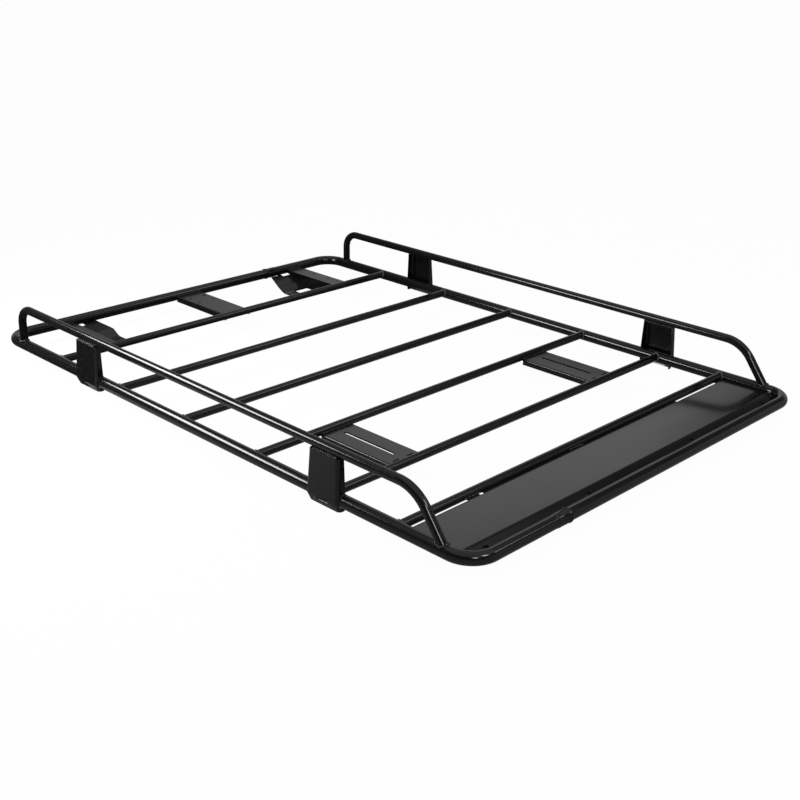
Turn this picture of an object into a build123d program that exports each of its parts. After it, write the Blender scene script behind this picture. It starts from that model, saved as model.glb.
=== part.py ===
from build123d import *
from math import radians, tan
import os

# Flat platform roof rack, in millimetres.
# The origin is in the middle of the base frame, at the level of the lowest pieces, the rear chutes.
# +X points to the front of the vehicle, where the wind sheet is, +Y to its left side and +Z up.

# Base frame: a round tube loop of two equal halves
base_length = 1745.0
base_width = 1212.0
base_tube_radius = 15.0
base_tube_wall = 2.0
base_corner_radius = 59.0
seat_gap = 0.3

# Socket joint between the two halves
joint_side_setback = 289.0
socket_length = 38.0
socket_cone_length = 9.0
socket_fit = 0.15
socket_lip_height = 1.4
socket_lip_length = 4.0
spigot_length = 33.0

# Side rails
rail_radius = 11.0
rail_wall = 1.8
rail_rise = 107.5
rail_rear_setback = 90.0
rail_rear_bend = 47.0
rail_front_setback = 150.0
rail_front_bend = 93.0
rail_front_lean = 37.0

# Crossbars, counted from the rear, placed by shares of the run from the first to the last
crossbar_radius = 10.5
crossbar_wall = 1.8
crossbar_rise = 2.9
crossbar_rear_setback = 273.0
crossbar_front_setback = 198.5
crossbar_shares = (0.0, 0.2204, 0.4332, 0.6471, 0.8456, 1.0)

# Towers: folded sheet channels that carry the rack on the vehicle
foot_drop = 24.0
tower_rear_setback = 434.5
tower_front_setback = 402.5
tower_sheet = 3.0
tower_top_width = 92.0
tower_knee_width = 100.0
tower_foot_width = 95.0
tower_edge_inset = 3.0
tower_top_reach = 14.0
tower_base_clearance = 2.0
tower_knee_drop = 5.0
tower_tuck = 8.0
tower_corner_radius = 9.0
tower_slot_length = 34.0
tower_slot_height = 9.0
tower_slot_drop = 9.0

# Channel plates
plate_sheet = 3.0
plate_level = 0.5
plate_flange = 16.0
plate_bend_radius = 4.5
deck_plate_width = 98.0
deck_plate_side_setback = 239.0
deck_slot_width = 9.0
deck_slot_rear_setback = 36.5
deck_slot_front_setback = 50.0
lash_slot_length = 20.0
lash_slot_width = 6.0
lash_slot_spacing = 44.0
lash_slot_setback = 24.5
rear_plate_width = 91.0
rear_hole_radius = 4.5
rear_hole_spacing_x = 46.0
rear_hole_spacing_y = 51.5
rear_hole_setback = 83.0

# Rear brackets
strip_level = -1.5
bracket_sheet = 2.5
strip_side_setback = 145.0
strip_width = 52.0
strip_hole_radius = 4.5
strip_hole_inset = 34.0
strip_hole_setbacks = (105.0, 175.0, 218.5)
chute_width = 95.0
chute_taper_width = 20.0
chute_taper_length = 58.0
chute_start_drop = 9.0
chute_shoulder_drop = 27.0
chute_shoulder_setback = 73.0
chute_depth = 43.0
chute_slope_length = 102.0
chute_floor_length = 54.0
chute_bend_radius = 40.0
rear_relief_width = 33.0
rear_relief_length = 10.0
front_relief_width = 54.0
front_relief_setback = 108.0
web_front_drop = 8.0

# Front wind sheet
sheet_thickness = 2.0
sheet_fold_setback = 50.5
sheet_flange_reach = 35.0
sheet_flange_angle = 24.0
sheet_notch_depth = 8.0
sheet_notch_side_setback = 240.5
sheet_corner_width = 53.0
sheet_tab_side_setback = 209.0
sheet_tab_width = 36.0
sheet_slot_length = 18.0
sheet_slot_width = 8.0
sheet_slot_setback = 34.5
sheet_slot_side_setback = 76.0
sheet_slot_share = 0.33

# Levels and places that follow from the sizes above
base_level = chute_depth + bracket_sheet / 2
foot_level = base_level - foot_drop
rail_level = base_level + rail_rise
crossbar_level = base_level + crossbar_rise
plate_top = base_level + plate_level
strip_top = base_level + strip_level
front_x = base_length / 2
rear_x = -base_length / 2
side_y = base_width / 2
joint_offset = side_y - joint_side_setback
first_bar = rear_x + crossbar_rear_setback
last_bar = front_x - crossbar_front_setback
crossbar_places = [first_bar + share * (last_bar - first_bar) for share in crossbar_shares]
tower_places = {"rear": rear_x + tower_rear_setback, "front": front_x - tower_front_setback}
deck_rear_bar, deck_front_bar = crossbar_places[3:5]
deck_plate_offset = side_y - deck_plate_side_setback
strip_inner_offset = side_y - strip_side_setback - strip_width
chute_inner_offset = strip_inner_offset - chute_width
sheet_slot_outer = side_y - sheet_slot_side_setback
sheet_slot_inner = side_y * sheet_slot_share
sheet_slot_places = (-sheet_slot_outer, -sheet_slot_inner, sheet_slot_inner, sheet_slot_outer)


def bent_bar(points, bend_radii, section):
    """A section carried along straight runs joined by tangent bends."""
    path = FilletPolyline(*points, radius=bend_radii)
    return sweep(Plane(origin=path @ 0, z_dir=path % 0) * section, path=path)


def tube_ring(radius, wall):
    """The section of a round tube."""
    return Circle(radius) - Circle(radius - wall)


def block(low, high):
    """A box given by its lowest and highest corners."""
    size = [b - a for a, b in zip(low, high)]
    middle = [(a + b) / 2 for a, b in zip(low, high)]
    return Pos(*middle) * Box(*size)


def slot_cutter(length, width, depth):
    """A through cutter with round ends, upright, with its long side along X."""
    return extrude(SlotOverall(length, width), amount=depth / 2, both=True)


def loop_seat():
    """The space of the whole base loop, with the gap that parts seated on it keep."""
    corners = [
        (0, -side_y, base_level),
        (front_x, -side_y, base_level),
        (front_x, side_y, base_level),
        (0, side_y, base_level),
    ]
    front = bent_bar(corners, base_corner_radius, Circle(base_tube_radius + seat_gap))
    reach = base_tube_radius + socket_fit + base_tube_wall + socket_lip_height + seat_gap
    length = socket_length + socket_cone_length
    sleeve = Cylinder(reach, length, rotation=(90, 0, 0))
    front += Pos(front_x, -joint_offset - length / 2, base_level) * sleeve
    return front + front.rotate(Axis.Z, 180)


def loop_inside():
    """Everything within the centre line of the base loop."""
    plan = RectangleRounded(base_length, base_width, base_corner_radius)
    return extrude(plan, amount=rail_level, both=True)


def bar_seat(place):
    """The space of a crossbar, with the gap that plates seated on it keep."""
    rod = Cylinder(crossbar_radius + seat_gap, base_width, rotation=(90, 0, 0))
    return Pos(place, 0, crossbar_level) * rod


def socket():
    """The expanded end of a base half, whose mouth takes the other half's plain end."""
    inner = base_tube_radius + socket_fit
    outer = inner + base_tube_wall
    cone_end = socket_length + socket_cone_length
    outline = Polyline(
        (inner, 0),
        (outer + socket_lip_height, 0),
        (outer + socket_lip_height, socket_lip_length / 2),
        (outer, socket_lip_length),
        (outer, socket_length),
        (base_tube_radius, cone_end),
        (base_tube_radius - base_tube_wall, cone_end),
        (inner, socket_length),
        close=True,
    )
    mouth = Plane(origin=(front_x, -joint_offset, base_level), x_dir=(1, 0, 0), z_dir=(0, 0, -1))
    return revolve(mouth * make_face(outline), axis=Axis(mouth.origin, mouth.y_dir))


def base_half():
    """The right half of the base loop: its socket is at the front, its plain end at the rear."""
    tube_start = -joint_offset - socket_length - socket_cone_length
    corners = [
        (front_x, tube_start, base_level),
        (front_x, -side_y, base_level),
        (rear_x, -side_y, base_level),
        (rear_x, joint_offset + spigot_length, base_level),
    ]
    tube = bent_bar(corners, base_corner_radius, tube_ring(base_tube_radius, base_tube_wall))
    return tube + socket()


def side_rail(seat):
    """The right side rail: upright at the rear, sloping down to its front foot."""
    rear_foot = rear_x + rail_rear_setback
    front_bend = front_x - rail_front_setback
    front_foot = front_bend + rail_rise * tan(radians(rail_front_lean))
    corners = [
        (rear_foot, -side_y, base_level),
        (rear_foot, -side_y, rail_level),
        (front_bend, -side_y, rail_level),
        (front_foot, -side_y, base_level),
    ]
    bends = [rail_rear_bend, rail_front_bend]
    return bent_bar(corners, bends, tube_ring(rail_radius, rail_wall)) - seat


def crossbar(place, seat):
    """A straight crossbar, coped to the inside of the base loop."""
    ring = tube_ring(crossbar_radius, crossbar_wall)
    tube = extrude(Plane.XZ * ring, amount=side_y, both=True)
    return Pos(place, 0, crossbar_level) * tube - seat


def tower_block(inset, edge_y, top_level):
    """The tapered form of a right tower up to its inboard edge, drawn in by the inset."""
    knee_face = -side_y - base_tube_radius - tower_base_clearance - tower_sheet
    levels = (
        (top_level, tower_top_width, -side_y - tower_top_reach),
        (base_level - tower_knee_drop, tower_knee_width, knee_face),
        (foot_level, tower_foot_width, knee_face + tower_tuck),
    )
    sections = []
    for level, width, face_y in levels:
        depth = edge_y - face_y - inset
        outline = Rectangle(width - 2 * inset, depth)
        outboard = outline.vertices().sort_by(Axis.Y)[:2]
        rounded = fillet(outboard, tower_corner_radius - inset)
        sections.append(Pos(0, edge_y - depth / 2, level) * rounded)
    return loft(sections, ruled=True)


def tower(seat):
    """A right tower centred on X = 0: a folded channel, open inboard and closed below the rail."""
    top_level = rail_level - rail_radius - seat_gap
    edge_y = -side_y + tower_edge_inset
    shell = tower_block(0, edge_y, top_level)
    hollow = tower_block(tower_sheet, edge_y + tower_sheet, top_level - tower_sheet)
    slot = Rot(90, 0, 0) * slot_cutter(tower_slot_length, tower_slot_height, 4 * base_tube_radius)
    slot_place = Pos(0, -side_y - base_tube_radius, base_level - tower_slot_drop)
    return shell - hollow - seat - slot_place * slot


def bar_carrier(place):
    """A crossbar as a plate's carrier: its place, how far it reaches and its space."""
    return place, crossbar_radius + seat_gap, bar_seat(place)


def folded_plate(width, rear_carrier, front_carrier):
    """A channel plate along X, its flanges down, fitted between the two tubes that carry it."""
    start, rear_reach, rear_seat = rear_carrier
    end, front_reach, front_seat = front_carrier
    outer = Rectangle(width, plate_flange)
    outer = fillet(outer.vertices().sort_by(Axis.Y)[2:], plate_bend_radius)
    inner = Rectangle(width - 2 * plate_sheet, plate_flange)
    inner = fillet(inner.vertices().sort_by(Axis.Y)[2:], plate_bend_radius - plate_sheet)
    channel = outer - Pos(0, -plate_sheet) * inner
    origin = ((start + end) / 2, 0, plate_top - plate_flange / 2)
    across = Plane(origin=origin, x_dir=(0, 1, 0), z_dir=(1, 0, 0))
    plate = extrude(across * channel, amount=(end - start) / 2, both=True)
    plate = plate - rear_seat - front_seat
    flange_top = plate_top - plate_bend_radius
    for low_x, high_x in ((start, start + rear_reach), (end - front_reach, end)):
        plate -= block((low_x, -width, 0), (high_x, width, flange_top))
    return plate


def deck_plate():
    """The right deck plate, with a long strap slot and two lashing slots at its front."""
    start, end = deck_rear_bar, deck_front_bar
    plate = folded_plate(deck_plate_width, bar_carrier(start), bar_carrier(end))
    slot_start, slot_end = start + deck_slot_rear_setback, end - deck_slot_front_setback
    strap = slot_cutter(slot_end - slot_start, deck_slot_width, plate_flange)
    plate -= Pos((slot_start + slot_end) / 2, 0, plate_top) * strap
    lash = Rot(0, 0, 90) * slot_cutter(lash_slot_length, lash_slot_width, plate_flange)
    for side in (-1, 1):
        plate -= Pos(end - lash_slot_setback, side * lash_slot_spacing / 2, plate_top) * lash
    return Pos(0, -deck_plate_offset, 0) * plate


def rear_plate(seat):
    """The middle plate from the rear tube to the first crossbar, with four holes."""
    rear_tube = (rear_x, base_tube_radius + seat_gap, seat)
    plate = folded_plate(rear_plate_width, rear_tube, bar_carrier(first_bar))
    hole = Cylinder(rear_hole_radius, plate_flange)
    for i in (-1, 1):
        for j in (-1, 1):
            x = rear_x + rear_hole_setback + i * rear_hole_spacing_x / 2
            plate -= Pos(x, j * rear_hole_spacing_y / 2, plate_top) * hole
    return plate


def bracket_strip():
    """The flat top strip of a right rear bracket, with its row of holes."""
    low = (rear_x, -strip_inner_offset - strip_width, strip_top - bracket_sheet)
    strip = block(low, (first_bar, -strip_inner_offset, strip_top))
    hole = Cylinder(strip_hole_radius, plate_flange)
    for setback in strip_hole_setbacks:
        strip -= Pos(rear_x + setback, -strip_inner_offset - strip_hole_inset, strip_top) * hole
    return strip


def bracket_chute():
    """The dropped floor inboard of the strip, and the web that carries it."""
    floor_level = base_level - chute_depth
    slope_end = rear_x + chute_slope_length
    floor_end = slope_end + chute_floor_length
    profile = [
        (rear_x, base_level - chute_start_drop),
        (rear_x + chute_shoulder_setback, base_level - chute_shoulder_drop),
        (slope_end, floor_level),
        (floor_end, floor_level),
    ]
    middle_y = -strip_inner_offset + chute_width / 2
    points = [(x, middle_y, level) for x, level in profile]
    path = FilletPolyline(*points, radius=chute_bend_radius)
    across = Plane(origin=path @ 0, x_dir=(0, 1, 0), z_dir=path % 0)
    chute = sweep(across * Rectangle(chute_width, bracket_sheet), path=path)
    corner_y = -chute_inner_offset
    taper = Polyline(
        (rear_x - base_tube_radius, corner_y),
        (rear_x + base_tube_radius + chute_taper_length, corner_y),
        (rear_x + base_tube_radius, corner_y - chute_taper_width),
        (rear_x - base_tube_radius, corner_y - chute_taper_width),
        close=True,
    )
    chute -= extrude(make_face(taper), amount=2 * base_level, both=True)
    rear_relief_end = rear_x + base_tube_radius + rear_relief_length
    chute -= block(
        (rear_x - base_tube_radius, -strip_inner_offset, 0),
        (rear_relief_end, -strip_inner_offset + rear_relief_width, base_level),
    )
    chute -= block(
        (rear_x + front_relief_setback, -strip_inner_offset, -base_level),
        (first_bar, -strip_inner_offset + front_relief_width, base_level),
    )
    web_outline = Polyline(
        (rear_x, strip_top),
        (first_bar, strip_top),
        (first_bar, base_level - web_front_drop),
        *reversed(profile),
        close=True,
    )
    face = Plane(origin=(0, -strip_inner_offset, 0), x_dir=(1, 0, 0), z_dir=(0, -1, 0))
    web = extrude(face * make_face(web_outline), amount=-bracket_sheet)
    return chute + web


def rear_bracket(seat, left):
    """A rear bracket, fitted between the rear tube and the first crossbar."""
    body = bracket_strip() + bracket_chute()
    if left:
        body = mirror(body, about=Plane.XZ)
    return body - seat - bar_seat(first_bar)


def front_sheet(seat):
    """The wind sheet from the last crossbar to the front tube, its front edge folded down."""
    fold_x = front_x - sheet_fold_setback
    end_x = fold_x + sheet_flange_reach
    end_level = plate_top - sheet_flange_reach * tan(radians(sheet_flange_angle))
    outline = Polyline(
        (last_bar, plate_top),
        (fold_x, plate_top),
        (end_x, end_level),
        (end_x, end_level - sheet_thickness),
        (fold_x, plate_top - sheet_thickness),
        (last_bar, plate_top - sheet_thickness),
        close=True,
    )
    sheet = extrude(Plane.XZ * make_face(outline), amount=side_y, both=True)
    sheet = (sheet & loop_inside()) - seat - bar_seat(last_bar)
    notch_x = last_bar + crossbar_radius + sheet_notch_depth
    notch_start = side_y - sheet_notch_side_setback
    tab_start = -side_y + sheet_tab_side_setback - sheet_tab_width / 2
    notches = (
        (-side_y, tab_start),
        (tab_start + sheet_tab_width, -notch_start),
        (notch_start, side_y - sheet_corner_width),
    )
    for low_y, high_y in notches:
        sheet -= block((last_bar, low_y, 0), (notch_x, high_y, rail_level))
    slot = Rot(0, 0, 90) * slot_cutter(sheet_slot_length, sheet_slot_width, 4 * base_tube_radius)
    for place in sheet_slot_places:
        sheet -= Pos(front_x - sheet_slot_setback, place, base_level) * slot
    return sheet


def rack():
    """Every piece of the rack by name. Left pieces mirror the right ones."""
    seat = loop_seat()
    right_half = base_half()
    rail = side_rail(seat)
    right_tower = tower(seat)
    deck = deck_plate()
    pieces = {
        "base_frame_right": right_half,
        "base_frame_left": right_half.rotate(Axis.Z, 180),
        "side_rail_right": rail,
        "side_rail_left": mirror(rail, about=Plane.XZ),
        "deck_plate_right": deck,
        "deck_plate_left": mirror(deck, about=Plane.XZ),
        "rear_plate_centre": rear_plate(seat),
        "rear_bracket_right": rear_bracket(seat, left=False),
        "rear_bracket_left": rear_bracket(seat, left=True),
        "front_sheet": front_sheet(seat),
    }
    for number, place in enumerate(crossbar_places, start=1):
        pieces[f"crossbar_{number}"] = crossbar(place, seat)
    for end, place in tower_places.items():
        placed = Pos(place, 0, 0) * right_tower
        pieces[f"tower_{end}_right"] = placed
        pieces[f"tower_{end}_left"] = mirror(placed, about=Plane.XZ)
    return pieces


os.makedirs("parts", exist_ok=True)
for name, shape in rack().items():
    export_step(shape, f"parts/{name}.step")
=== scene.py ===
"""Looks of a flat platform roof rack: painted tubes, weld beads, pressed sheet parts and a pale studio."""

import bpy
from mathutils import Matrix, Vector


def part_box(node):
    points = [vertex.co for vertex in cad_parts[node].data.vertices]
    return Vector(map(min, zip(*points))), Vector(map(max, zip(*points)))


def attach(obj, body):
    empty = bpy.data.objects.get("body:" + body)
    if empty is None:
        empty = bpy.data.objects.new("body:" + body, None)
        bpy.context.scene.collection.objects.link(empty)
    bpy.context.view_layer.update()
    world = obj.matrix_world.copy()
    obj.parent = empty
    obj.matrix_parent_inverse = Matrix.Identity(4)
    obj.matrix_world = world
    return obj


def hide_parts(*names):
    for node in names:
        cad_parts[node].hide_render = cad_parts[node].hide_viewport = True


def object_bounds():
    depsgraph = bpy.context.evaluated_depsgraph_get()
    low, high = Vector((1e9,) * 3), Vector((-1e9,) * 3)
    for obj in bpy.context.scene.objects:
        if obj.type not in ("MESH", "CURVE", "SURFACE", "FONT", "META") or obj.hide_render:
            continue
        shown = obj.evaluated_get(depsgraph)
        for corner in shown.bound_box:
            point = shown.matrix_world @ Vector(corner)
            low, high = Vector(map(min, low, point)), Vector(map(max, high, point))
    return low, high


bl_info = {
    "name": "Roof rack dressing",
    "version": (1, 0, 0),
    "blender": (4, 5, 0),
    "location": "3D View > Sidebar > Roof rack",
    "description": "Smooth tubes, weld beads, softened sheet parts, paint and studio for a roof rack",
    "category": "Object",
}

from math import cos, pi, radians, sin, sqrt, tan

import bmesh
import bpy
from mathutils import Vector
from mathutils.bvhtree import BVHTree

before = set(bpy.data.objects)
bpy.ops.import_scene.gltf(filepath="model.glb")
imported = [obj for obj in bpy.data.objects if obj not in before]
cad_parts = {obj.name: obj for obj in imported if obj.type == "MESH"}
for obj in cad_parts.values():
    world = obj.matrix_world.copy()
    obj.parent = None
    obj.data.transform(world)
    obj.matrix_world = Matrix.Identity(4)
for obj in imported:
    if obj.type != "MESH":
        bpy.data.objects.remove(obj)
CAD_BOX = [list(corner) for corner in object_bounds()]
BODY = "root"
SIDES = {"right": -1, "left": 1}
ENDS = ("rear", "front")


def middle(low, high):
    """The middle between two corners."""
    return (low + high) / 2


# Steps round bends, weld seams and slots
BEND_STEPS = 32
SEAM_STEPS = 40
SLOT_STEPS = 24

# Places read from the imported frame, in metres
RAIL_LOW, RAIL_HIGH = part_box("side_rail_right")
RAIL_RADIUS = (RAIL_HIGH.y - RAIL_LOW.y) / 2
SIDE_Y = -middle(RAIL_LOW.y, RAIL_HIGH.y)
RAIL_LEVEL = RAIL_HIGH.z - RAIL_RADIUS
REAR_FOOT_X = RAIL_LOW.x + RAIL_RADIUS
BASE_LOW, BASE_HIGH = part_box("base_frame_right")
BASE_LEVEL = middle(BASE_LOW.z, BASE_HIGH.z)
BASE_RADIUS = -BASE_LOW.y - SIDE_Y
REAR_X = BASE_LOW.x + BASE_RADIUS
FRONT_X = -REAR_X
BARS = [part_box(f"crossbar_{number}") for number in range(1, 7)]
BAR_X = [middle(low.x, high.x) for low, high in BARS]
BAR_LEVEL = middle(BARS[0][0].z, BARS[0][1].z)
BAR_RADIUS = (BARS[0][1].z - BARS[0][0].z) / 2
FIRST_BAR_X, DECK_REAR_X, DECK_FRONT_X, SHEET_BAR_X = (BAR_X[place] for place in (0, 3, 4, 5))


# Settings that a user would change
def length(name, default, description):
    """A length in metres as a Blender property."""
    return bpy.props.FloatProperty(
        name=name, description=description, default=default, min=0.0, precision=5,
        subtype="DISTANCE", unit="LENGTH",
    )


def share(name, default, description):
    """A plain number from 0 to 1 as a Blender property."""
    return bpy.props.FloatProperty(
        name=name, description=description, default=default, min=0.0, max=1.0, subtype="FACTOR",
    )


def colour(name, default, description):
    """A linear colour as a Blender property."""
    return bpy.props.FloatVectorProperty(
        name=name, description=description, default=default, size=3, min=0.0, max=1.0, subtype="COLOR",
    )


class RackPaintSettings(bpy.types.PropertyGroup):
    """Colour and gloss of the powder coat."""

    black: colour("Paint", (0.0022, 0.0022, 0.0024), "Colour of the powder coat")
    # The bead colour is lighter than the paint as a painted highlight: it stands for the glints that the
    # glossy beads catch.
    bead: colour("Bead", (0.05, 0.05, 0.052), "Colour of the thin coat on the beads of bars and towers")
    dust: colour("Dust", (0.05, 0.047, 0.043), "Colour of the thin dust on faces that look up")
    tube_roughness: share("Tube roughness", 0.165, "Gloss of the painted tubes")
    plate_roughness: share("Plate roughness", 0.24, "Gloss of the painted plates")
    sheet_roughness: share("Sheet roughness", 0.15, "Gloss of the wind sheet")
    tower_roughness: share("Tower roughness", 0.19, "Gloss of the folded towers")
    tube_peel: share("Tube peel", 0.004, "Strength of the orange peel on the tubes")
    plate_peel: share("Plate peel", 0.02, "Strength of the orange peel on the plates and beads")
    sheet_peel: share("Sheet peel", 0.01, "Strength of the orange peel on the wind sheet")
    tower_peel: share("Tower peel", 0.02, "Strength of the orange peel on the towers")
    index: bpy.props.FloatProperty(
        name="Index", description="Refractive index of the powder coat", default=1.4, min=1.0, max=2.0,
    )


class RackTubeSettings(bpy.types.PropertyGroup):
    """Sizes of the base loop, of its sockets and of the side rails' bends."""

    corner_radius: length("Corner radius", 0.059, "Bend radius of the base loop's corners")
    joint_offset: length("Joint offset", 0.317, "Distance of the socket's mouth from the middle")
    socket_length: length("Socket", 0.038, "Length of the widened part of a socket")
    socket_cone: length("Cone", 0.009, "Length of the cone behind a socket")
    socket_growth: length("Growth", 0.0009, "How much wider than the tube a socket is, on radius")
    lip_height: length("Lip height", 0.0014, "Height of the rolled rim at the mouth")
    lip_length: length("Lip length", 0.005, "Length of the rolled rim at the mouth")
    leg_lean: bpy.props.FloatProperty(
        name="Leg lean", description="Forward lean of the rails' front legs in degrees",
        default=37.0, min=0.0,
    )
    rail_rear_bend: length("Rear bend", 0.047, "Bend radius at the rear of the side rails")
    rail_front_bend: length("Front bend", 0.093, "Bend radius at the front of the side rails")
    around: bpy.props.IntProperty(
        name="Sides", description="Facets around a tube", default=72, min=8, max=256,
    )


class RackWeldSettings(bpy.types.PropertyGroup):
    """Sizes of the weld beads."""

    tube_bead: length("Tube bead", 0.0052, "Width of the beads where tubes meet")
    foot_bead: length("Foot bead", 0.0062, "Width of the beads round the rails' feet")
    stitch_bead: length("Stitch bead", 0.0048, "Width of the short beads on plates")
    tower_bead: length("Tower bead", 0.0032, "Width of the woven bead under the rail")
    weave: length("Weave", 0.0062, "Width of the weave under the rail")
    weave_pitch: length("Weave pitch", 0.0075, "Length of one swing of the weave")
    pitch: length("Pitch", 0.0034, "Distance between ripples along a bead")
    depth: share("Depth", 0.16, "How far the ripples change a bead's width")
    taper: length("Taper", 0.003, "Length over which a bead thins at its ends")


class RackSheetSettings(bpy.types.PropertyGroup):
    """Edges, slots, pads and weld places of the sheet parts."""

    edge: length("Edge", 0.0006, "Rounding that the paint gives to cut edges")
    strip_width: length("Strip width", 0.052, "Width of a rear bracket's top strip")
    strip_drop: length("Strip drop", 0.0015, "How far the strip lies below the tube's middle")
    stitch_centre: length("Middle stitch", 0.04, "Distance of the sheet's middle stitch from the centre")
    stitch_side: length("Side stitch", 0.397, "Distance of the wind sheet's tab from the centre")
    stitch_length: length("Stitch length", 0.052, "Length of the wind sheet's stitches")
    sheet: length("Wind sheet", 0.002, "Thickness of the wind sheet")
    tower_sheet: length("Tower sheet", 0.003, "Thickness of the towers")
    slot_front: length("Slot setback", 0.0345, "Distance of the wind sheet's slots from the front tube")
    slot_side: length("Slot side setback", 0.076, "Distance of the outer slots from the side tubes' middle")
    slot_share: share("Slot share", 0.33, "Place of the inner slots between the centre and the side tubes")
    # The pads are dark pieces behind the slots, put there as painted shade: they make the slots look dark.
    shade_pad_shift: length("Metal beside", 0.014, "Distance from a sheet slot's middle to the metal beside it")
    sheet_shade_pad: length("Sheet pad", 0.024, "Length of the pads behind the wind sheet's slots")
    shade_pad_width: length("Pad width", 0.0135, "Width of the pads behind slots")
    shade_pad_thickness: length("Pad thickness", 0.0012, "Thickness of the pads behind slots")
    shade_pad_gap: length("Pad gap", 0.0001, "Gap between a pad and the metal before it")
    plate_sheet: length("Plate sheet", 0.003, "Thickness of the deck plates")
    rim: length("Rim", 0.0013, "How far a slot's pressed rim hangs below the deck plates")
    strap_rear: length("Strap slot rear", 0.0365, "Distance of the strap slot from the bar behind it")
    strap_front: length("Strap slot front", 0.05, "Distance of the strap slot from the bar before it")
    strap_width: length("Strap slot width", 0.009, "Width of the strap slots")
    lash_length: length("Lash slot", 0.02, "Length of the lashing slots")
    lash_width: length("Lash slot width", 0.006, "Width of the lashing slots")
    lash_spacing: length("Lash spacing", 0.044, "Distance between a plate's two lashing slots")
    lash_setback: length("Lash setback", 0.0245, "Distance of the lashing slots from the bar before them")
    tower_slot_drop: length("Tower slot", 0.009, "Drop of the towers' slots below the base tube's middle")
    # The tower pads are dark pieces inside the towers' slots, put there as painted shade.
    tower_shade_pad_shift: length("Tower metal", 0.022, "Distance from a tower slot's middle to metal beside it")
    tower_shade_pad: length("Tower pad", 0.04, "Length of the pads behind the towers' slots")


class RackStageSettings(bpy.types.PropertyGroup):
    """Camera, lamps and floor."""

    lens: bpy.props.FloatProperty(
        name="Lens", description="Focal length in millimetres on a 36 mm sensor", default=53.485, min=10.0,
    )
    eye: bpy.props.FloatVectorProperty(
        name="Eye", description="Place of the camera", default=(2.1264, -2.0847, 1.1721), size=3,
        subtype="TRANSLATION", unit="LENGTH",
    )
    turn: bpy.props.FloatVectorProperty(
        name="Turn", description="Rotation of the camera", size=3, subtype="EULER", unit="ROTATION",
        default=(radians(67.584), radians(-0.901), radians(44.836)),
    )
    key_strength: bpy.props.FloatProperty(
        name="Key lamp", description="Power of the softbox in watts", default=28.0, min=0.0,
    )
    fill_strength: bpy.props.FloatProperty(
        name="Fill", description="Strength of the light from all round", default=0.45, min=0.0,
    )
    floor: share("Floor", 0.8, "Grey level of the floor")
    floor_radius: length("Floor radius", 60.0, "Radius of the floor")
    floor_gap: length("Floor gap", 0.0002, "Gap between the rack's lowest point and the floor")


GROUPS = {
    "rack_paint": RackPaintSettings,
    "rack_tubes": RackTubeSettings,
    "rack_welds": RackWeldSettings,
    "rack_sheets": RackSheetSettings,
    "rack_stage": RackStageSettings,
}


def settings(name):
    """One group of settings of the open scene."""
    return getattr(bpy.context.scene, name)


# Node trees
class Value:
    """A socket that adds Math nodes to its tree as an expression is written on it."""

    def __init__(self, tree, socket):
        self.tree = tree
        self.socket = socket

    def join(self, operation, first, second=None, clamp=False):
        inputs = {0: first} if second is None else {0: first, 1: second}
        settings_first = {"operation": operation, "use_clamp": clamp}
        return self.tree.node("ShaderNodeMath", settings_first, inputs).out()

    def __add__(self, other):
        return self.join("ADD", self, other)

    def __radd__(self, other):
        return self.join("ADD", other, self)

    def __sub__(self, other):
        return self.join("SUBTRACT", self, other)

    def __rsub__(self, other):
        return self.join("SUBTRACT", other, self)

    def __mul__(self, other):
        return self.join("MULTIPLY", self, other)

    def __rmul__(self, other):
        return self.join("MULTIPLY", other, self)

    def __truediv__(self, other):
        return self.join("DIVIDE", self, other)

    def __rtruediv__(self, other):
        return self.join("DIVIDE", other, self)

    def __pow__(self, other):
        return self.join("POWER", self, other)

    def clamped(self):
        return self.join("ADD", self, 0.0, clamp=True)

    def sine(self):
        return self.join("SINE", self)

    def at_most(self, other):
        return self.join("MINIMUM", self, other)

    def at_least(self, other):
        return self.join("MAXIMUM", self, other)


class Node:
    """A node that was added, with its outputs by name or number."""

    def __init__(self, tree, node):
        self.tree = tree
        self.node = node

    def out(self, key=0):
        return Value(self.tree, self.node.outputs[key])


class Tree:
    """A node tree that is filled by one method."""

    def __init__(self, tree):
        self.tree = tree
        tree.nodes.clear()

    def node(self, kind, first=None, inputs=None):
        """Adds a node: its type, the settings to set first, then its sockets' values or links."""
        made = self.tree.nodes.new(kind)
        for name, value in (first or {}).items():
            setattr(made, name, value)
        for key, value in (inputs or {}).items():
            if isinstance(value, Value):
                self.tree.links.new(value.socket, made.inputs[key])
            else:
                made.inputs[key].default_value = value
        return Node(self, made)


# Paint
def noise(tree, place, scale, detail, roughness):
    """Cloudy numbers around 0.5 over the rack."""
    return tree.node(
        "ShaderNodeTexNoise", {"noise_dimensions": "3D"},
        {"Vector": place, "Scale": scale, "Detail": detail, "Roughness": roughness},
    ).out()


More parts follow.
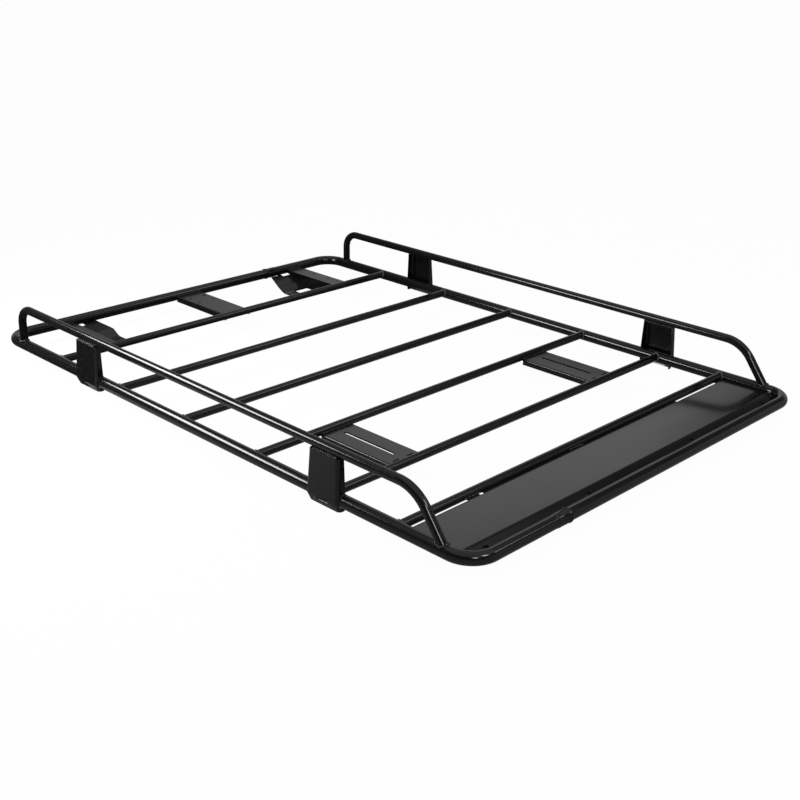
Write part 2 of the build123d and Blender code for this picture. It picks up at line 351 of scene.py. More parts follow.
def powder_coat(name, black, dust, roughness, peel, index):
    """Glossy black powder coat: slight orange peel, uneven gloss, thin dust on what looks up."""
    peel_scale, cloud_scale, speck_scale = 260.0, 6.0, 900.0
    dusty_from, dust_rise = 0.55, 2.2
    even_dust, cloudy_dust = 0.02, 0.06
    least_speck, speck_rise = 0.8, 0.4
    cloudy_gloss, speckled_gloss = 0.05, 0.008
    peel_height = 0.0003
    material = bpy.data.materials.new(name)
    material.use_nodes = True
    tree = Tree(material.node_tree)
    place = tree.node("ShaderNodeTexCoord").out("Object")
    peel_noise = noise(tree, place, peel_scale, 2.0, 0.5)
    cloud = noise(tree, place, cloud_scale, 4.0, 0.6)
    specks = noise(tree, place, speck_scale, 1.0, 0.5)
    normal = tree.node("ShaderNodeNewGeometry").out("Normal")
    up = tree.node("ShaderNodeSeparateXYZ", inputs={0: normal}).out("Z")
    facing_up = ((up - dusty_from) * dust_rise).clamped()
    thin_dust = (even_dust + cloud * cloudy_dust) * (least_speck + specks * speck_rise)
    dust_share = (facing_up * thin_dust).clamped()
    base = tree.node(
        "ShaderNodeMix", {"data_type": "RGBA"},
        {"Factor": dust_share, "A": (*black, 1.0), "B": (*dust, 1.0)},
    ).out("Result")
    gloss = (roughness + (cloud - 0.5) * cloudy_gloss + (specks - 0.5) * speckled_gloss).clamped()
    bump = tree.node(
        "ShaderNodeBump", inputs={"Strength": peel, "Distance": peel_height, "Height": peel_noise},
    ).out()
    shader = tree.node(
        "ShaderNodeBsdfPrincipled",
        inputs={"Base Color": base, "Roughness": gloss, "IOR": index, "Normal": bump},
    )
    tree.node("ShaderNodeOutputMaterial", inputs={"Surface": shader.out()})
    return material


# Geometry node trees
def add_input(tree, name, kind, default=None):
    """A named input of a geometry node tree."""
    made = tree.interface.new_socket(name=name, in_out="INPUT", socket_type=kind)
    if default is not None:
        made.default_value = default


def new_geometry_tree(name, inputs):
    """A geometry node tree with a Path input, the named inputs and one output."""
    group = bpy.data.node_groups.new(name, "GeometryNodeTree")
    tree = Tree(group)
    add_input(group, "Path", "NodeSocketGeometry")
    for input_name, (kind, default) in inputs.items():
        add_input(group, input_name, kind, default)
    group.interface.new_socket(name="Mesh", in_out="OUTPUT", socket_type="NodeSocketGeometry")
    return tree, tree.node("NodeGroupInput")


def finish_geometry_tree(tree, mesh, material):
    """Smooth shading, real geometry and the material, at the end of every tree."""
    smooth = tree.node("GeometryNodeSetShadeSmooth", inputs={"Geometry": mesh, "Shade Smooth": True})
    real = tree.node("GeometryNodeRealizeInstances", inputs={"Geometry": smooth.out()})
    painted = tree.node("GeometryNodeSetMaterial", inputs={"Geometry": real.out(), "Material": material})
    tree.node("NodeGroupOutput", inputs={"Mesh": painted.out()})
    return tree.tree


def attribute(tree, name):
    """A named number on the path's points."""
    return tree.node("GeometryNodeInputNamedAttribute", {"data_type": "FLOAT"}, {"Name": name}).out()


def swept_tube_tree():
    """A round tube along corners, each with its own bend radius and tube radius."""
    tree, given = new_geometry_tree(
        "Swept tube",
        {
            "Sides": ("NodeSocketInt", 48),
            "Bend steps": ("NodeSocketInt", 24),
            "Paint": ("NodeSocketMaterial", None),
        },
    )
    curve = tree.node("GeometryNodeMeshToCurve", inputs={"Mesh": given.out("Path")})
    bent = tree.node(
        "GeometryNodeFilletCurve", {"mode": "POLY"},
        {"Curve": curve.out(), "Count": given.out("Bend steps"), "Radius": attribute(tree, "bend")},
    )
    ring = tree.node(
        "GeometryNodeCurvePrimitiveCircle", {"mode": "RADIUS"},
        {"Resolution": given.out("Sides"), "Radius": 1.0},
    )
    tube = tree.node(
        "GeometryNodeCurveToMesh",
        inputs={
            "Curve": bent.out(), "Profile Curve": ring.out(),
            "Scale": attribute(tree, "girth"), "Fill Caps": True,
        },
    )
    return finish_geometry_tree(tree, tube.out(), given.out("Paint"))


def weld_bead_tree():
    """Rippled beads along paths, thin at their ends."""
    points_to_ripple, bead_sides = 5.0, 10
    end_thickness, unevenness, uneven_scale = 0.35, 0.3, 180.0
    closed_lift = 10.0
    tree, given = new_geometry_tree(
        "Weld bead",
        {
            "Width": ("NodeSocketFloat", 0.005),
            "Pitch": ("NodeSocketFloat", 0.0034),
            "Depth": ("NodeSocketFloat", 0.16),
            "Taper": ("NodeSocketFloat", 0.003),
            "Paint": ("NodeSocketMaterial", None),
        },
    )
    curve = tree.node("GeometryNodeMeshToCurve", inputs={"Mesh": given.out("Path")})
    even = tree.node(
        "GeometryNodeResampleCurve", {"mode": "LENGTH"},
        {"Curve": curve.out(), "Length": given.out("Pitch") / points_to_ripple},
    )
    spline = tree.node("GeometryNodeSplineParameter")
    whole = tree.node("GeometryNodeSplineLength").out("Length")
    run = spline.out("Length")
    ripple = (run * (2 * pi) / given.out("Pitch")).sine() * given.out("Depth")
    place = tree.node("GeometryNodeInputPosition").out()
    uneven = tree.node(
        "ShaderNodeTexNoise", {"noise_dimensions": "4D"},
        {"Vector": place, "W": 3.0, "Scale": uneven_scale, "Detail": 1.0},
    ).out()
    closed = attribute(tree, "closed")
    to_end = run.at_most(whole - run) / given.out("Taper")
    taper = (to_end + closed * closed_lift + end_thickness).at_most(1.0)
    thickness = 1.0 - unevenness / 2 + uneven * unevenness + ripple
    scale = given.out("Width") * 0.5 * thickness * taper
    ring = tree.node(
        "GeometryNodeCurvePrimitiveCircle", {"mode": "RADIUS"},
        {"Resolution": bead_sides, "Radius": 1.0},
    )
    bead = tree.node(
        "GeometryNodeCurveToMesh",
        inputs={"Curve": even.out(), "Profile Curve": ring.out(), "Scale": scale, "Fill Caps": True},
    )
    return finish_geometry_tree(tree, bead.out(), given.out("Paint"))


def add_object(name, data):
    """A new object of the scene."""
    made = bpy.data.objects.new(name, data)
    bpy.context.scene.collection.objects.link(made)
    return made


def plain_mesh(source, name):
    """The mesh that an object's modifiers make; the object itself is removed."""
    evaluated = source.evaluated_get(bpy.context.evaluated_depsgraph_get())
    made = bpy.data.meshes.new_from_object(evaluated)
    bpy.data.objects.remove(source)
    made.name = name
    return made


def bake(name, tree, paths, values, numbers=None, sharp=radians(35)):
    """Runs a geometry node tree on paths of points and keeps its result as a plain mesh object."""
    mesh = bpy.data.meshes.new(name + ".path")
    points, edges, closed_marks = [], [], []
    for path, closed in paths:
        start = len(points)
        points += [tuple(point) for point in path]
        edges += [(start + i, start + i + 1) for i in range(len(path) - 1)]
        if closed:
            edges.append((len(points) - 1, start))
        closed_marks += [1.0 if closed else 0.0] * len(path)
    mesh.from_pydata(points, edges, [])
    for number_name, row in {"closed": closed_marks, **(numbers or {})}.items():
        mesh.attributes.new(number_name, "FLOAT", "POINT").data.foreach_set("value", row)
    source = add_object(name + ".source", mesh)
    modifier = source.modifiers.new("Nodes", "NODES")
    modifier.node_group = tree
    sockets = {item.name: item.identifier for item in tree.interface.items_tree if item.in_out == "INPUT"}
    for key, value in values.items():
        modifier[sockets[key]] = value
    made = plain_mesh(source, name)
    bpy.data.meshes.remove(mesh)
    for leftover in ("closed", "bend", "girth"):
        if leftover in made.attributes:
            made.attributes.remove(made.attributes[leftover])
    if sharp is not None:
        made.set_sharp_from_angle(angle=sharp)
    if not made.polygons:
        raise RuntimeError(f"{name} came out empty")
    return add_object(name, made)


def keep(piece):
    """Fixes a finished piece to the rack."""
    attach(piece, BODY)


# Tubes
def base_half_path(tubes, turn):
    """The corners of one base half, with the bend and the tube radius at each."""
    mouth = -tubes.joint_offset
    wide = BASE_RADIUS + tubes.socket_growth
    steps, wave_start = 8, 0.2
    rows = []
    for i in range(steps + 1):
        run = tubes.lip_length * i / steps
        rise = tubes.lip_height * sin(pi * (wave_start + (1 - wave_start) * i / steps))
        rows.append(((FRONT_X, mouth - run), 0.0, wide + rise))
    cone_start = mouth - tubes.socket_length
    for i in range(steps + 1):
        run = tubes.socket_cone * i / steps
        drop = tubes.socket_growth * (1 - cos(pi * i / steps)) / 2
        rows.append(((FRONT_X, cone_start - run), 0.0, wide - drop))
    rows.append(((FRONT_X, -SIDE_Y), tubes.corner_radius, BASE_RADIUS))
    rows.append(((REAR_X, -SIDE_Y), tubes.corner_radius, BASE_RADIUS))
    rows.append(((REAR_X, tubes.joint_offset + tubes.socket_length / 2), 0.0, BASE_RADIUS))
    path = [(x * turn, y * turn, BASE_LEVEL) for (x, y), _, _ in rows]
    return path, [bend for _, bend, _ in rows], [girth for _, _, girth in rows]


def front_foot_place(lean):
    """The X where a rail's front leg meets the middle of the base tube."""
    return RAIL_HIGH.x - RAIL_RADIUS / cos(lean) + BASE_RADIUS * tan(lean)


def rail_outline(lean):
    """The corners of a side rail seen from the side, from the rear foot to the front foot."""
    front_foot = front_foot_place(lean)
    top_corner = front_foot - (RAIL_LEVEL - BASE_LEVEL) * tan(lean)
    rear_leg = [(REAR_FOOT_X, BASE_LEVEL), (REAR_FOOT_X, RAIL_LEVEL)]
    return rear_leg + [(top_corner, RAIL_LEVEL), (front_foot, BASE_LEVEL)]


class RACK_OT_tubes(bpy.types.Operator):
    """Sweep the two halves of the base loop, the side rails and the crossbars"""

    bl_idname = "rack.tubes"
    bl_label = "Tubes"

    def execute(self, context):
        tubes = settings("rack_tubes")
        tree = swept_tube_tree()
        for side_name, side in SIDES.items():
            path, bends, girths = base_half_path(tubes, -side)
            self.lay(tree, f"base_tube_{side_name}", f"base_frame_{side_name}", path, bends, girths)
        outline = rail_outline(radians(tubes.leg_lean))
        bends = [0.0, tubes.rail_rear_bend, tubes.rail_front_bend, 0.0]
        for side_name, side in SIDES.items():
            path = [(x, side * SIDE_Y, z) for x, z in outline]
            girths = [RAIL_RADIUS] * len(path)
            self.lay(tree, f"rail_tube_{side_name}", f"side_rail_{side_name}", path, bends, girths)
        for number, x in enumerate(BAR_X, 1):
            path = [(x, side * SIDE_Y, BAR_LEVEL) for side in SIDES.values()]
            self.lay(tree, f"cross_tube_{number}", f"crossbar_{number}", path, [0.0] * 2, [BAR_RADIUS] * 2)
        return {"FINISHED"}

    def lay(self, tree, name, node, path, bends, girths):
        """Puts a swept tube in the place of a CAD node."""
        values = {
            "Sides": settings("rack_tubes").around,
            "Bend steps": BEND_STEPS,
            "Paint": bpy.data.materials["Tube powder coat"],
        }
        piece = bake(name, tree, [(path, False)], values, {"bend": bends, "girth": girths})
        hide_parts(node)
        keep(piece)


# Welds
def bar_end_path(x, side):
    """The seam of a crossbar's end on the base tube."""
    path = []
    for i in range(SEAM_STEPS):
        angle = 2 * pi * i / SEAM_STEPS
        rise = BAR_LEVEL - BASE_LEVEL + BAR_RADIUS * sin(angle)
        reach = SIDE_Y - sqrt(BASE_RADIUS ** 2 - rise ** 2)
        path.append((x + BAR_RADIUS * cos(angle), side * reach, BASE_LEVEL + rise))
    return path, True


def rail_foot_path(x, side, lean):
    """The seam of a rail's foot on top of the base tube; the foot leans forward by an angle."""
    path = []
    for i in range(SEAM_STEPS):
        angle = 2 * pi * i / SEAM_STEPS
        across = RAIL_RADIUS * sin(angle)
        top = sqrt(BASE_RADIUS ** 2 - across ** 2)
        along = RAIL_RADIUS * cos(angle) / cos(lean) - top * tan(lean)
        path.append((x + along, side * (SIDE_Y + across), BASE_LEVEL + top))
    return path, True


def bar_face(place, level, facing):
    """The X of a crossbar's front or rear surface at a level."""
    return place + facing * sqrt(BAR_RADIUS ** 2 - (level - BAR_LEVEL) ** 2)


def cross_seam(x, level, facing, low_y, high_y):
    """A straight seam along Y in the corner between a tube and the top of a sheet."""
    inset = 0.0008
    ends = [(x + facing * inset, y, level + inset) for y in (low_y, high_y)]
    return ends, False


def woven_seam(low_x, high_x, side, welds):
    """A bead that swings between a tower's top edge and the underside of the rail."""
    path = []
    count = int(2 * (high_x - low_x) / welds.weave_pitch)
    inner_share, lift_share = 0.55, 0.4
    under_rail = SIDE_Y + inner_share * RAIL_RADIUS
    for i in range(count + 1):
        swing = i % 2
        reach = under_rail + swing * welds.weave
        rise = sqrt(max(RAIL_RADIUS ** 2 - (reach - SIDE_Y) ** 2, 0.0))
        level = RAIL_LEVEL - RAIL_RADIUS + (1 - swing) * lift_share * (RAIL_RADIUS - rise)
        path.append((low_x + (high_x - low_x) * i / count, side * reach, level))
    return path, False


def towers():
    """Every tower's CAD node, side and box corners."""
    rows = []
    for side_name, side in SIDES.items():
        for end in ENDS:
            node = f"tower_{end}_{side_name}"
            rows.append((node, side, *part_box(node)))
    return rows


def tower_edges():
    """The X of both side edges of every tower, with the tower's side."""
    inset = 0.001
    edges = []
    for _, side, low, high in towers():
        edges += [(low.x + inset, side), (high.x - inset, side)]
    return edges


def tower_foot_seam(x, side):
    """The short bead over the base tube where a tower's side flange meets it."""
    path = []
    steps, start, sweep = 8, 25, 85
    for i in range(steps + 1):
        angle = radians(start + sweep * i / steps)
        reach = SIDE_Y + BASE_RADIUS * cos(angle)
        path.append((x, side * reach, BASE_LEVEL + BASE_RADIUS * sin(angle)))
    return path, False


def plate_seams(sheets):
    """The seams of the plates, strips and wind sheet on the tubes that carry them."""
    seams = []
    rear_face = REAR_X + sqrt(BASE_RADIUS ** 2 - sheets.strip_drop ** 2)
    for side_name, side in SIDES.items():
        low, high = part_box(f"deck_plate_{side_name}")
        seams.append(cross_seam(bar_face(DECK_REAR_X, high.z, 1), high.z, 1, low.y, high.y))
        seams.append(cross_seam(bar_face(DECK_FRONT_X, high.z, -1), high.z, -1, low.y, high.y))
        low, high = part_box(f"rear_bracket_{side_name}")
        outer = max(abs(low.y), abs(high.y))
        strip = sorted((side * outer, side * (outer - sheets.strip_width)))
        level = BASE_LEVEL - sheets.strip_drop
        seams.append(cross_seam(rear_face, level, 1, *strip))
        seams.append(cross_seam(bar_face(FIRST_BAR_X, level, -1), level, -1, *strip))
    low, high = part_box("rear_plate_centre")
    seams.append(cross_seam(rear_face, high.z, 1, low.y, high.y))
    seams.append(cross_seam(bar_face(FIRST_BAR_X, high.z, -1), high.z, -1, low.y, high.y))
    low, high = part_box("front_sheet")
    sheet_face = bar_face(SHEET_BAR_X, high.z, 1)
    for place in (-sheets.stitch_side, -sheets.stitch_centre):
        half = sheets.stitch_length / 2
        seams.append(cross_seam(sheet_face, high.z, 1, place - half, place + half))
    return seams


class RACK_OT_welds(bpy.types.Operator):
    """Lay the weld beads of the tubes, towers and plates"""

    bl_idname = "rack.welds"
    bl_label = "Weld beads"

    def execute(self, context):
        welds = settings("rack_welds")
        glossy = bpy.data.materials["Tube powder coat"]
        # The bead coat's lighter grey is a painted highlight on the beads of the bars and towers.
        painted_highlight_coat = bpy.data.materials["Bead coat with painted highlight"]
        tree = weld_bead_tree()
        sides = SIDES.values()
        lean = radians(settings("rack_tubes").leg_lean)
        bar_ends = [bar_end_path(x, side) for x in BAR_X for side in sides]
        rail_feet = [rail_foot_path(REAR_FOOT_X, side, 0.0) for side in sides]
        rail_feet += [rail_foot_path(front_foot_place(lean), side, lean) for side in sides]
        plates = plate_seams(settings("rack_sheets"))
        bare_share = 0.07
        woven = []
        for _, side, low, high in towers():
            margin = welds.weave + (high.x - low.x) * bare_share
            woven.append(woven_seam(low.x + margin, high.x - margin, side, welds))
        tower_feet = [tower_foot_seam(x, side) for x, side in tower_edges()]
        common = {"Pitch": welds.pitch, "Depth": welds.depth, "Taper": welds.taper}
        beads = (
            ("bar_welds", bar_ends, welds.tube_bead, painted_highlight_coat, "tube_paint"),
            ("rail_foot_welds", rail_feet, welds.foot_bead, glossy, "tube_paint"),
            ("plate_welds", plates, welds.stitch_bead, glossy, "plate_paint"),
            ("tower_welds", woven, welds.tower_bead, painted_highlight_coat, "tower_paint"),
            ("tower_foot_welds", tower_feet, welds.stitch_bead, glossy, "tower_paint"),
        )
        for name, paths, width, paint, slot in beads:
            values = {"Width": width, "Paint": paint, **common}
            keep(bake(name, tree, paths, values, sharp=None))
        return {"FINISHED"}


# Sheet parts
def soften(node, name, width, paint):
    """A copy of a CAD node with its cut edges rounded by the paint, in the node's place."""
    same_place, same_plane, cut_edge = 1e-5, radians(0.6), radians(32)
    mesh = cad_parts[node].data.copy()
    mesh.name = name
    work = bmesh.new()
    work.from_mesh(mesh)
    bmesh.ops.remove_doubles(work, verts=work.verts, dist=same_place)
    bmesh.ops.dissolve_limit(work, angle_limit=same_plane, verts=work.verts, edges=work.edges)
    work.to_mesh(mesh)
    work.free()
    if "custom_normal" in mesh.attributes:
        mesh.attributes.remove(mesh.attributes["custom_normal"])
    mesh.shade_smooth()
    source = add_object(name, mesh)
    bevel = source.modifiers.new("Edges", "BEVEL")
    bevel.width = width
    bevel.segments = 2
    bevel.limit_method = "ANGLE"
    bevel.angle_limit = cut_edge
    bevel.miter_outer = "MITER_ARC"
    weighted = source.modifiers.new("Flat faces", "WEIGHTED_NORMAL")
    weighted.keep_sharp = True
    made = plain_mesh(source, name)
    low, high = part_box(node)
    for vertex in made.vertices:
        vertex.co = [min(max(place, least), most) for place, least, most in zip(vertex.co, low, high)]
    made.materials.clear()
    made.materials.append(paint)
    piece = add_object(name, made)
    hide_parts(node)
    return piece


class RACK_OT_sheets(bpy.types.Operator):
    """Round the edges of the towers, plates, brackets and wind sheet and paint them"""

    bl_idname = "rack.sheets"
    bl_label = "Sheet parts"

    def execute(self, context):
        sheets = settings("rack_sheets")
        plate = bpy.data.materials["Plate powder coat"]
        tower = bpy.data.materials["Tower powder coat"]
        wind = bpy.data.materials["Wind sheet powder coat"]
        parts = [("front_sheet", "wind_sheet", wind, "sheet_paint")]
        parts.append(("rear_plate_centre", "drilled_plate", plate, "plate_paint"))
        for side in SIDES:
            parts.append((f"deck_plate_{side}", f"slotted_plate_{side}", plate, "plate_paint"))
            parts.append((f"rear_bracket_{side}", f"chute_bracket_{side}", plate, "plate_paint"))
            for end in ENDS:
                parts.append((f"tower_{end}_{side}", f"folded_tower_{end}_{side}", tower, "tower_paint"))
        for node, name, paint, slot in parts:
            keep(soften(node, name, sheets.edge, paint))
        return {"FINISHED"}


def slot_ring(work, centre, along, across, slot_length, slot_width):
    """Adds the corners of a slot's round-ended outline."""
    half_run, radius = (slot_length - slot_width) / 2, slot_width / 2
    ring = []
    for i in range(SLOT_STEPS):
        angle = 2 * pi * (i + 0.5) / SLOT_STEPS
        run = radius * cos(angle) + (half_run if cos(angle) > 0 else -half_run)
        ring.append(work.verts.new(centre + along * run + across * radius * sin(angle)))
    return ring


def join_rings(work, pairs):
    """Adds the faces between pairs of rings."""
    for upper, lower in pairs:
        for i in range(SLOT_STEPS):
            work.faces.new((upper[i], lower[i], lower[i - 1], upper[i - 1]))


def slot_shade_pad(work, centre, normal, along, size):
    """Adds a thin round-ended dark pad with a rounded rim behind a slot, as painted shade that makes the
    slot look dark.
    """
    rounding = 0.0006
    pad_length, shade_pad_width, thickness = size
    across = normal.cross(along).normalized()
    rings = []
    for inset, depth in ((rounding, 0.0), (0.0, 0.3), (0.0, 0.7), (rounding, 1.0)):
        place = centre - normal * thickness * depth
        ring_size = (pad_length - 2 * inset, shade_pad_width - 2 * inset)
        rings.append(slot_ring(work, place, along, across, *ring_size))
    work.faces.new(rings[0])
    join_rings(work, zip(rings, rings[1:]))
    work.faces.new(list(reversed(rings[-1])))


def slot_rim(work, centre, along, across, size):
    """Adds the pressed rim that hangs below a slot: a thin wall along the slot's outline."""
    slot_length, slot_width, height = size
    wall, edge = 0.0013, 0.0004
    outline = ((0.0, 0.0), (0.0, 0.8), (edge, 1.0), (wall - edge, 1.0), (wall, 0.8), (wall, 0.0))
    rings = []
    for outset, drop in outline:
        place = centre - Vector((0.0, 0.0, height * drop))
        ring_size = (slot_length + 2 * outset, slot_width + 2 * outset)
        rings.append(slot_ring(work, place, along, across, *ring_size))
    join_rings(work, zip(rings, rings[1:] + rings[:1]))


def face_at(node, start, direction):
    """The first face of a CAD node on a line, and the way that it faces."""
    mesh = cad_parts[node].data
    corners = [vertex.co for vertex in mesh.vertices]
    search = BVHTree.FromPolygons(corners, [tuple(polygon.vertices) for polygon in mesh.polygons])
    place, normal, _, _ = search.ray_cast(Vector(start), Vector(direction))
    if place is None:
        raise RuntimeError(f"no face of {node} beside its slot")
    return place, normal if normal.dot(Vector(direction)) < 0 else -normal


def finish_slot_pieces(work, name, paint):
    """Turns collected shade pads, or slot rims, into one piece of the rack."""
    bmesh.ops.recalc_face_normals(work, faces=work.faces)
    mesh = bpy.data.meshes.new(name)
    work.to_mesh(mesh)
    work.free()
    mesh.materials.append(paint)
    mesh.shade_smooth()
    mesh.set_sharp_from_angle(angle=radians(40))
    keep(add_object(name, mesh))


class RACK_OT_shade_pads_and_rims(bpy.types.Operator):
    """Put dark pads behind the slots of the wind sheet and the towers as painted shade, so that the slots
    look dark, and rim the deck plates' slots
    """

    bl_idname = "rack.pads"
    bl_label = "Slot pads and rims"

    def execute(self, context):
        sheets = settings("rack_sheets")
        paint = bpy.data.materials["Plate powder coat"]
        along_x, along_y = Vector((1.0, 0.0, 0.0)), Vector((0.0, 1.0, 0.0))
        self.sheet_shade_pads(sheets, paint, along_y)
        self.tower_shade_pads(sheets, paint, along_x)
        self.plate_rims(sheets, paint, along_x, along_y)
        return {"FINISHED"}

    def sheet_shade_pads(self, sheets, paint, along):
        """Dark pads below the wind sheet's slots, as painted shade."""
        work = bmesh.new()
        size = (sheets.sheet_shade_pad, sheets.shade_pad_width, sheets.shade_pad_thickness)
        inner, outer = sheets.slot_share * SIDE_Y, SIDE_Y - sheets.slot_side
        x = FRONT_X - sheets.slot_front
        for y in (-outer, -inner, inner, outer):
            start = (x, y + sheets.shade_pad_shift, 1.0)
            place, normal = face_at("front_sheet", start, (0.0, 0.0, -1.0))
            centre = Vector((x, y, place.z)) - normal * (sheets.sheet + sheets.shade_pad_gap)
            slot_shade_pad(work, centre, normal, along, size)
        finish_slot_pieces(work, "sheet_slot_shade_pads", paint)

    def tower_shade_pads(self, sheets, paint, along):
        """Dark pads inside the towers' slots, as painted shade."""
        work = bmesh.new()
        size = (sheets.tower_shade_pad, sheets.shade_pad_width, sheets.shade_pad_thickness)
        z = BASE_LEVEL - sheets.tower_slot_drop
        for node, side, low, high in towers():
            x = middle(low.x, high.x)
            start = (x + sheets.tower_shade_pad_shift, side, z)
            place, normal = face_at(node, start, (0.0, -side, 0.0))
            centre = Vector((x, place.y, z)) - normal * (sheets.tower_sheet + sheets.shade_pad_gap)
            slot_shade_pad(work, centre, normal, along, size)
        finish_slot_pieces(work, "tower_slot_shade_pads", paint)

    def plate_rims(self, sheets, paint, along, across):
        """Rims below the deck plates' strap slots and lashing slots."""
        work = bmesh.new()
        rear, front = DECK_REAR_X + sheets.strap_rear, DECK_FRONT_X - sheets.strap_front
        strap_size = (front - rear, sheets.strap_width, sheets.rim)
        lash_size = (sheets.lash_length, sheets.lash_width, sheets.rim)
        lash_x = DECK_FRONT_X - sheets.lash_setback
        for side_name in SIDES:
            low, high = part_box(f"deck_plate_{side_name}")
            level, y = high.z - sheets.plate_sheet, middle(low.y, high.y)
            slot_rim(work, Vector((middle(rear, front), y, level)), along, across, strap_size)
            for shift in (-sheets.lash_spacing / 2, sheets.lash_spacing / 2):
                slot_rim(work, Vector((lash_x, y + shift, level)), across, along, lash_size)
        finish_slot_pieces(work, "plate_slot_rims", paint)


class RACK_OT_paints(bpy.types.Operator):
    """Mix the powder coats"""

    bl_idname = "rack.paints"
    bl_label = "Paints"

    def execute(self, context):
        paint = settings("rack_paint")
        coats = (
            ("Tube powder coat", paint.black, paint.tube_roughness, paint.tube_peel),
            ("Plate powder coat", paint.black, paint.plate_roughness, paint.plate_peel),
            ("Wind sheet powder coat", paint.black, paint.sheet_roughness, paint.sheet_peel),
            # The bead coat takes the lighter bead colour as a painted highlight.
            ("Bead coat with painted highlight", paint.bead, paint.plate_roughness, paint.plate_peel),
            ("Tower powder coat", paint.black, paint.tower_roughness, paint.tower_peel),
        )
        for name, coat, roughness, peel in coats:
            powder_coat(name, tuple(coat), tuple(paint.dust), roughness, peel, paint.index)
        return {"FINISHED"}


# Stage
# Lamps: place, the point they face, size, and power as a share of the key lamp's
LAMPS = {
    "Key": ((-0.925, -1.15, 0.84), (0.33, -0.3, 0.05), (1.02, 0.38), 1.0),
    "Far lamp": ((7.05, 7.85, 8.6), (-0.8, 0.0, 0.0), (2.2, 2.2), 3.0),
    "Front lamp": ((2.79, -0.24, 2.3), (0.8, -0.3, 0.0), (0.7, 0.7), 0.9),
    "Camera side lamp": ((2.88, -1.78, 1.65), (0.76, 0.0, 0.06), (0.6, 0.6), 0.65),
}


def background_rays(tree):
    """Two shares: 1 for rays of the camera and of glass, and 1 for rays that the paint mirrors."""
    rays = tree.node("ShaderNodeLightPath")
    direct = (rays.out("Is Camera Ray") + rays.out("Is Transmission Ray")).clamped()
    return direct, rays.out("Is Glossy Ray") * (1.0 - direct)


def floor_material(pale):
    """A pale floor that looks white, keeps the rack's shadow and is clear to a camera below it."""
    mirrored_dimming, direct_glow, mirrored_glow = 0.62, 0.97, 0.05
    material = bpy.data.materials.new("Pale floor")
    material.use_nodes = True
    tree = Tree(material.node_tree)
    direct, mirrored = background_rays(tree)
    grey = pale * (1.0 - mirrored * mirrored_dimming)
    matt = tree.node("ShaderNodeBsdfDiffuse", inputs={"Color": grey})
    glow = tree.node("ShaderNodeEmission", inputs={"Color": (1.0, 1.0, 1.0, 1.0), "Strength": 1.0})
    glow_share = direct * direct_glow + mirrored * mirrored_glow
    mixed = tree.node("ShaderNodeMixShader", inputs={0: glow_share, 1: matt.out(), 2: glow.out()})
    from_below = tree.node("ShaderNodeNewGeometry").out("Backfacing") * direct
    clear = tree.node("ShaderNodeBsdfTransparent", inputs={"Color": (1.0, 1.0, 1.0, 1.0)})
    seen = tree.node("ShaderNodeMixShader", inputs={0: from_below, 1: mixed.out(), 2: clear.out()})
    tree.node("ShaderNodeOutputMaterial", inputs={"Surface": seen.out()})
    return material


def studio_world(fill):
    """White for the camera; the paint mirrors a dim room with a pale panel and a pale ceiling."""
    world = bpy.data.worlds.new("Studio")
    world.use_nodes = True
    tree = Tree(world.node_tree)
    direct, mirrored = background_rays(tree)
    direction = tree.node("ShaderNodeTexCoord").out("Generated")
    split = tree.node("ShaderNodeSeparateXYZ", inputs={0: direction})
    height = split.out("Z")
    level = (1.0 - height * height).at_least(0.0001) ** 0.5
    low_room, far_room, high_room = 0.25, 0.2, 0.1
    panel_azimuth, panel_edge, panel_top, panel_light = radians(129), 0.955, 0.6, 0.95
    ceiling_edge, ceiling_light = 0.69, 0.65
    far_side = (split.out("Y") * 2.0 + 0.5).clamped()
    horizon = 0.1 + far_side * 0.24
    above = ((height - horizon) * 12.0).clamped()
    across = split.out("X") * cos(panel_azimuth) + split.out("Y") * sin(panel_azimuth)
    panel_width = ((across / level - panel_edge) * 30.0).clamped()
    panel = panel_width * ((panel_top - height) * 8.0).clamped()
    ceiling = ((height - ceiling_edge) * 11.0).clamped()
    upper_room = high_room + panel * panel_light + ceiling * ceiling_light
    room = (low_room + far_side * far_room) * (1.0 - above) + above * upper_room
    strength = direct + mirrored * room + (1.0 - direct - mirrored) * fill
    back = tree.node("ShaderNodeBackground", inputs={"Color": (1.0, 1.0, 1.0, 1.0), "Strength": strength})
    tree.node("ShaderNodeOutputWorld", inputs={"Surface": back.out()})
    return world


def softbox(name, place, target, size, power):
    """A rectangular lamp that faces a target."""
    data = bpy.data.lights.new(name, "AREA")
    data.shape = "RECTANGLE"
    data.size, data.size_y = size
    data.energy = power
    lamp = add_object(name, data)
    lamp.location = place
    lamp.rotation_mode = "QUATERNION"
    lamp.rotation_quaternion = (Vector(target) - Vector(place)).to_track_quat("-Z", "Y")
    lamp.visible_camera = False


def dark_card(name, place, target, size, grey):
    """A dark card that only the paint's reflections show."""
    mesh = bpy.data.meshes.new(name)
    wide, high = size[0] / 2, size[1] / 2
    corners = [(-wide, -high, 0.0), (wide, -high, 0.0), (wide, high, 0.0), (-wide, high, 0.0)]
    mesh.from_pydata(corners, [], [(0, 1, 2, 3)])
    material = bpy.data.materials.new(name)
    material.use_nodes = True
    tree = Tree(material.node_tree)
    level = tree.node("ShaderNodeEmission", inputs={"Color": (1.0, 1.0, 1.0, 1.0), "Strength": grey})
    tree.node("ShaderNodeOutputMaterial", inputs={"Surface": level.out()})
    mesh.materials.append(material)
    card = add_object(name, mesh)
    card.location = place
    card.rotation_mode = "QUATERNION"
    card.rotation_quaternion = (Vector(target) - Vector(place)).to_track_quat("Z", "Y")
    card.visible_camera = False
    card.visible_diffuse = False
    card.visible_shadow = False
    card.visible_transmission = False


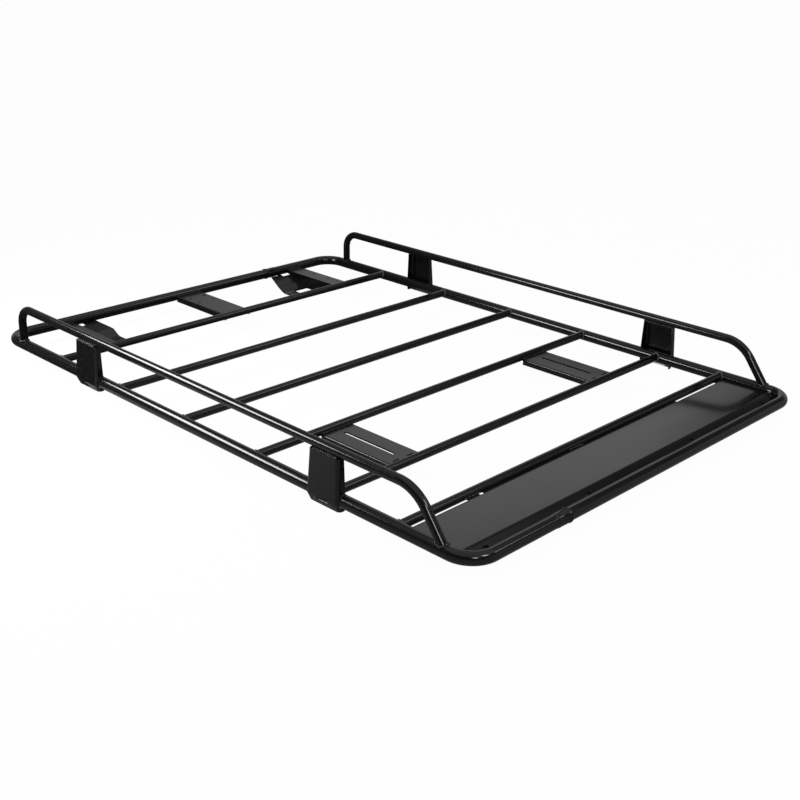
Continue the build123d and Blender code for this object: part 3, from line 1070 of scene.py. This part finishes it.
class RACK_OT_stage(bpy.types.Operator):
    """Set up the camera, the floor, the lamps and the world"""

    bl_idname = "rack.stage"
    bl_label = "Stage"

    def execute(self, context):
        stage = settings("rack_stage")
        scene = context.scene
        data = bpy.data.cameras.new("Camera")
        data.lens = stage.lens
        data.sensor_width = 36.0
        data.clip_end = 200.0
        camera = add_object("Camera", data)
        camera.location = stage.eye
        camera.rotation_euler = stage.turn
        scene.camera = camera
        mesh = bpy.data.meshes.new("Floor")
        work = bmesh.new()
        bmesh.ops.create_circle(work, cap_ends=True, radius=stage.floor_radius, segments=96)
        work.to_mesh(mesh)
        work.free()
        mesh.materials.append(floor_material(stage.floor))
        floor = add_object("Floor", mesh)
        floor.location.z = CAD_BOX[0][2] - stage.floor_gap
        scene.world = studio_world(stage.fill_strength)
        for name, (place, target, size, key_share) in LAMPS.items():
            softbox(name, place, target, size, stage.key_strength * key_share)
        dark_card("Dark card", (3.6, -3.6, 1.0), (0.0, 0.0, 0.4), (7.0, 2.0), 0.1)
        # A dark patch on the floor behind the rack that only reflections show: the tubes' undersides mirror
        # a darker floor there.
        patch_x, patch_level = -2.47, CAD_BOX[0][2] + 2 * stage.floor_gap
        dark_card("Dark floor patch", (patch_x, 0.0, patch_level), (patch_x, 0.0, 1.0), (4.0, 8.0), 0.08)
        scene.view_settings.view_transform = "Standard"
        return {"FINISHED"}


class RACK_PT_panel(bpy.types.Panel):
    """Buttons and settings of the rack's dressing"""

    bl_idname = "RACK_PT_panel"
    bl_label = "Roof rack"
    bl_space_type = "VIEW_3D"
    bl_region_type = "UI"
    bl_category = "Roof rack"

    def draw(self, context):
        for name, group in GROUPS.items():
            box = self.layout.box()
            for key in group.__annotations__:
                box.prop(getattr(context.scene, name), key)
        for operator in OPERATORS:
            self.layout.operator(operator.bl_idname)


OPERATORS = (RACK_OT_paints, RACK_OT_tubes, RACK_OT_sheets, RACK_OT_shade_pads_and_rims, RACK_OT_welds, RACK_OT_stage)
CLASSES = (*GROUPS.values(), *OPERATORS, RACK_PT_panel)


def register():
    for cls in CLASSES:
        bpy.utils.register_class(cls)
    for name, group in GROUPS.items():
        setattr(bpy.types.Scene, name, bpy.props.PointerProperty(type=group))


def unregister():
    for name in GROUPS:
        delattr(bpy.types.Scene, name)
    for cls in reversed(CLASSES):
        bpy.utils.unregister_class(cls)


def main():
    """Builds every piece in order."""
    register()
    bpy.ops.rack.paints()
    bpy.ops.rack.tubes()
    bpy.ops.rack.sheets()
    bpy.ops.rack.pads()
    bpy.ops.rack.welds()
    bpy.ops.rack.stage()


if __name__ == "__main__":
    main()
